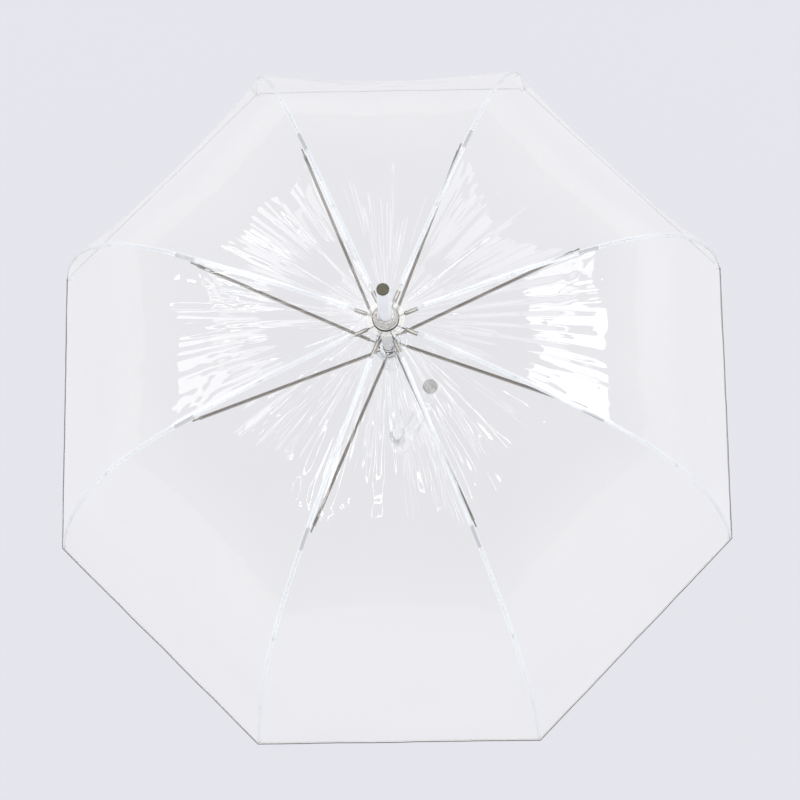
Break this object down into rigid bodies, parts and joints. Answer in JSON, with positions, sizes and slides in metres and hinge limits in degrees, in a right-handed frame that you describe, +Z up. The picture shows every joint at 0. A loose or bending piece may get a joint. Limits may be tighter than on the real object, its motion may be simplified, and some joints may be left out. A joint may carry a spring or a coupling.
{
  "type": "stick umbrella",
  "caption": "Clear dome stick umbrella, open: sliding runner, jointed ribs and stretchers, transparent film canopy, straight shaft with spring catches, and a crook handle.",
  "frame": {"origin": "on the shaft's axis inside the handle's grip, where the hand holds it", "axes": "+Z up the shaft towards the ferrule; the catches face +X; the handle's crook turns towards 60 degrees from +X"},
  "size_m": [0.7838, 0.7838, 0.9345],
  "materials": {
    "shaft": "satin white enamel on a steel tube",
    "ferrule": "white",
    "ferrule_end": "dark olive plug",
    "top_cap": "bright nickel",
    "cap_washer": "black",
    "rosette": "clear film",
    "notch": "white moulding",
    "wire": "spring wire",
    "canopy": "clear glossy film",
    "handle": "clear acrylic",
    "collar": "dark",
    "handle_ring": "bright",
    "handle_cap": "grey",
    "runner": "translucent white",
    "catch": "spring steel",
    "rib": "white glass-fibre rod",
    "sleeve": "dark grey",
    "tip": "clear",
    "stretcher": "grey channel"
  },
  "bodies": {
    "frame": {"shaft": "shaft", "ferrule": "ferrule", "ferrule_end": "ferrule_end", "top_cap": "top_cap", "cap_washer": "cap_washer", "rosette": "rosette", "notch": "notch", "notch_wire": "wire", "canopy": "canopy", "handle": "handle", "handle_collar": "collar", "handle_end_ring": "handle_ring", "handle_end_cap": "handle_cap"},
    "runner": {"runner": "runner", "runner_wire": "wire"},
    "top_catch": {"top_catch": "catch"},
    "bottom_catch": {"bottom_catch": "catch"},
    "inner_rib_1": {"inner_rib_1": "rib", "rib_sleeve_1": "sleeve"},
    "outer_rib_1": {"outer_rib_1": "rib", "rib_tip_1": "tip"},
    "stretcher_1": {"stretcher_1": "stretcher"},
    "inner_rib_2": {"inner_rib_2": "rib", "rib_sleeve_2": "sleeve"},
    "outer_rib_2": {"outer_rib_2": "rib", "rib_tip_2": "tip"},
    "stretcher_2": {"stretcher_2": "stretcher"},
    "inner_rib_3": {"inner_rib_3": "rib", "rib_sleeve_3": "sleeve"},
    "outer_rib_3": {"outer_rib_3": "rib", "rib_tip_3": "tip"},
    "stretcher_3": {"stretcher_3": "stretcher"},
    "inner_rib_4": {"inner_rib_4": "rib", "rib_sleeve_4": "sleeve"},
    "outer_rib_4": {"outer_rib_4": "rib", "rib_tip_4": "tip"},
    "stretcher_4": {"stretcher_4": "stretcher"},
    "inner_rib_5": {"inner_rib_5": "rib", "rib_sleeve_5": "sleeve"},
    "outer_rib_5": {"outer_rib_5": "rib", "rib_tip_5": "tip"},
    "stretcher_5": {"stretcher_5": "stretcher"},
    "inner_rib_6": {"inner_rib_6": "rib", "rib_sleeve_6": "sleeve"},
    "outer_rib_6": {"outer_rib_6": "rib", "rib_tip_6": "tip"},
    "stretcher_6": {"stretcher_6": "stretcher"},
    "inner_rib_7": {"inner_rib_7": "rib", "rib_sleeve_7": "sleeve"},
    "outer_rib_7": {"outer_rib_7": "rib", "rib_tip_7": "tip"},
    "stretcher_7": {"stretcher_7": "stretcher"},
    "inner_rib_8": {"inner_rib_8": "rib", "rib_sleeve_8": "sleeve"},
    "outer_rib_8": {"outer_rib_8": "rib", "rib_tip_8": "tip"},
    "stretcher_8": {"stretcher_8": "stretcher"}
  },
  "joints": [
    {"name": "runner_slide", "type": "slide", "parent": "frame", "child": "runner", "axis": [0, 0, 1], "range_m": [-0.3056, 0], "deforming": ["canopy"]},
    {"name": "inner_rib_hinge_1", "type": "hinge", "parent": "frame", "child": "inner_rib_1", "pos_m": [0.00739, 0.00306, 0.711], "axis": [-0.3827, 0.9239, 0], "range_deg": [0, 69.41]},
    {"name": "outer_rib_flex_1", "type": "hinge", "parent": "inner_rib_1", "child": "outer_rib_1", "pos_m": [0.21138, 0.08756, 0.6413], "axis": [-0.3827, 0.9239, 0], "range_deg": [-47, 0]},
    {"name": "stretcher_hinge_1", "type": "hinge", "parent": "runner", "child": "stretcher_1", "pos_m": [0.01109, 0.00459, 0.6097], "axis": [-0.3827, 0.9239, 0], "range_deg": [-74.88, 0]},
    {"name": "inner_rib_hinge_2", "type": "hinge", "parent": "frame", "child": "inner_rib_2", "pos_m": [0.00306, 0.00739, 0.711], "axis": [-0.9239, 0.3827, 0], "range_deg": [0, 69.41]},
    {"name": "outer_rib_flex_2", "type": "hinge", "parent": "inner_rib_2", "child": "outer_rib_2", "pos_m": [0.08756, 0.21138, 0.6413], "axis": [-0.9239, 0.3827, 0], "range_deg": [-47, 0]},
    {"name": "stretcher_hinge_2", "type": "hinge", "parent": "runner", "child": "stretcher_2", "pos_m": [0.00459, 0.01109, 0.6097], "axis": [-0.9239, 0.3827, 0], "range_deg": [-74.88, 0]},
    {"name": "inner_rib_hinge_3", "type": "hinge", "parent": "frame", "child": "inner_rib_3", "pos_m": [-0.00306, 0.00739, 0.711], "axis": [-0.9239, -0.3827, 0], "range_deg": [0, 69.41]},
    {"name": "outer_rib_flex_3", "type": "hinge", "parent": "inner_rib_3", "child": "outer_rib_3", "pos_m": [-0.08756, 0.21138, 0.6413], "axis": [-0.9239, -0.3827, 0], "range_deg": [-47, 0]},
    {"name": "stretcher_hinge_3", "type": "hinge", "parent": "runner", "child": "stretcher_3", "pos_m": [-0.00459, 0.01109, 0.6097], "axis": [-0.9239, -0.3827, 0], "range_deg": [-74.88, 0]},
    {"name": "inner_rib_hinge_4", "type": "hinge", "parent": "frame", "child": "inner_rib_4", "pos_m": [-0.00739, 0.00306, 0.711], "axis": [-0.3827, -0.9239, 0], "range_deg": [0, 69.41]},
    {"name": "outer_rib_flex_4", "type": "hinge", "parent": "inner_rib_4", "child": "outer_rib_4", "pos_m": [-0.21138, 0.08756, 0.6413], "axis": [-0.3827, -0.9239, 0], "range_deg": [-47, 0]},
    {"name": "stretcher_hinge_4", "type": "hinge", "parent": "runner", "child": "stretcher_4", "pos_m": [-0.01109, 0.00459, 0.6097], "axis": [-0.3827, -0.9239, 0], "range_deg": [-74.88, 0]},
    {"name": "inner_rib_hinge_5", "type": "hinge", "parent": "frame", "child": "inner_rib_5", "pos_m": [-0.00739, -0.00306, 0.711], "axis": [0.3827, -0.9239, 0], "range_deg": [0, 69.41]},
    {"name": "outer_rib_flex_5", "type": "hinge", "parent": "inner_rib_5", "child": "outer_rib_5", "pos_m": [-0.21138, -0.08756, 0.6413], "axis": [0.3827, -0.9239, 0], "range_deg": [-47, 0]},
    {"name": "stretcher_hinge_5", "type": "hinge", "parent": "runner", "child": "stretcher_5", "pos_m": [-0.01109, -0.00459, 0.6097], "axis": [0.3827, -0.9239, 0], "range_deg": [-74.88, 0]},
    {"name": "inner_rib_hinge_6", "type": "hinge", "parent": "frame", "child": "inner_rib_6", "pos_m": [-0.00306, -0.00739, 0.711], "axis": [0.9239, -0.3827, 0], "range_deg": [0, 69.41]},
    {"name": "outer_rib_flex_6", "type": "hinge", "parent": "inner_rib_6", "child": "outer_rib_6", "pos_m": [-0.08756, -0.21138, 0.6413], "axis": [0.9239, -0.3827, 0], "range_deg": [-47, 0]},
    {"name": "stretcher_hinge_6", "type": "hinge", "parent": "runner", "child": "stretcher_6", "pos_m": [-0.00459, -0.01109, 0.6097], "axis": [0.9239, -0.3827, 0], "range_deg": [-74.88, 0]},
    {"name": "inner_rib_hinge_7", "type": "hinge", "parent": "frame", "child": "inner_rib_7", "pos_m": [0.00306, -0.00739, 0.711], "axis": [0.9239, 0.3827, 0], "range_deg": [0, 69.41]},
    {"name": "outer_rib_flex_7", "type": "hinge", "parent": "inner_rib_7", "child": "outer_rib_7", "pos_m": [0.08756, -0.21138, 0.6413], "axis": [0.9239, 0.3827, 0], "range_deg": [-47, 0]},
    {"name": "stretcher_hinge_7", "type": "hinge", "parent": "runner", "child": "stretcher_7", "pos_m": [0.00459, -0.01109, 0.6097], "axis": [0.9239, 0.3827, 0], "range_deg": [-74.88, 0]},
    {"name": "inner_rib_hinge_8", "type": "hinge", "parent": "frame", "child": "inner_rib_8", "pos_m": [0.00739, -0.00306, 0.711], "axis": [0.3827, 0.9239, 0], "range_deg": [0, 69.41]},
    {"name": "outer_rib_flex_8", "type": "hinge", "parent": "inner_rib_8", "child": "outer_rib_8", "pos_m": [0.21138, -0.08756, 0.6413], "axis": [0.3827, 0.9239, 0], "range_deg": [-47, 0]},
    {"name": "stretcher_hinge_8", "type": "hinge", "parent": "runner", "child": "stretcher_8", "pos_m": [0.01109, -0.00459, 0.6097], "axis": [0.3827, 0.9239, 0], "range_deg": [-74.88, 0]},
    {"name": "top_catch_press", "type": "hinge", "parent": "frame", "child": "top_catch", "pos_m": [0, 0, 0.495], "axis": [0, 1, 0], "range_deg": [-11.5, 0], "stiffness_Nm_per_rad": 0.12},
    {"name": "bottom_catch_press", "type": "hinge", "parent": "frame", "child": "bottom_catch", "pos_m": [0, 0, 0.229], "axis": [0, 1, 0], "range_deg": [0, 11.5], "stiffness_Nm_per_rad": 0.12}
  ],
  "couplings": [
    {"joint": "inner_rib_hinge_1", "follows": "runner_slide", "rad_per_m": -3.9638},
    {"joint": "outer_rib_flex_1", "follows": "runner_slide", "rad_per_m": 2.6842},
    {"joint": "stretcher_hinge_1", "follows": "runner_slide", "rad_per_m": 4.2763},
    {"joint": "inner_rib_hinge_2", "follows": "runner_slide", "rad_per_m": -3.9638},
    {"joint": "outer_rib_flex_2", "follows": "runner_slide", "rad_per_m": 2.6842},
    {"joint": "stretcher_hinge_2", "follows": "runner_slide", "rad_per_m": 4.2763},
    {"joint": "inner_rib_hinge_3", "follows": "runner_slide", "rad_per_m": -3.9638},
    {"joint": "outer_rib_flex_3", "follows": "runner_slide", "rad_per_m": 2.6842},
    {"joint": "stretcher_hinge_3", "follows": "runner_slide", "rad_per_m": 4.2763},
    {"joint": "inner_rib_hinge_4", "follows": "runner_slide", "rad_per_m": -3.9638},
    {"joint": "outer_rib_flex_4", "follows": "runner_slide", "rad_per_m": 2.6842},
    {"joint": "stretcher_hinge_4", "follows": "runner_slide", "rad_per_m": 4.2763},
    {"joint": "inner_rib_hinge_5", "follows": "runner_slide", "rad_per_m": -3.9638},
    {"joint": "outer_rib_flex_5", "follows": "runner_slide", "rad_per_m": 2.6842},
    {"joint": "stretcher_hinge_5", "follows": "runner_slide", "rad_per_m": 4.2763},
    {"joint": "inner_rib_hinge_6", "follows": "runner_slide", "rad_per_m": -3.9638},
    {"joint": "outer_rib_flex_6", "follows": "runner_slide", "rad_per_m": 2.6842},
    {"joint": "stretcher_hinge_6", "follows": "runner_slide", "rad_per_m": 4.2763},
    {"joint": "inner_rib_hinge_7", "follows": "runner_slide", "rad_per_m": -3.9638},
    {"joint": "outer_rib_flex_7", "follows": "runner_slide", "rad_per_m": 2.6842},
    {"joint": "stretcher_hinge_7", "follows": "runner_slide", "rad_per_m": 4.2763},
    {"joint": "inner_rib_hinge_8", "follows": "runner_slide", "rad_per_m": -3.9638},
    {"joint": "outer_rib_flex_8", "follows": "runner_slide", "rad_per_m": 2.6842},
    {"joint": "stretcher_hinge_8", "follows": "runner_slide", "rad_per_m": 4.2763}
  ]
}
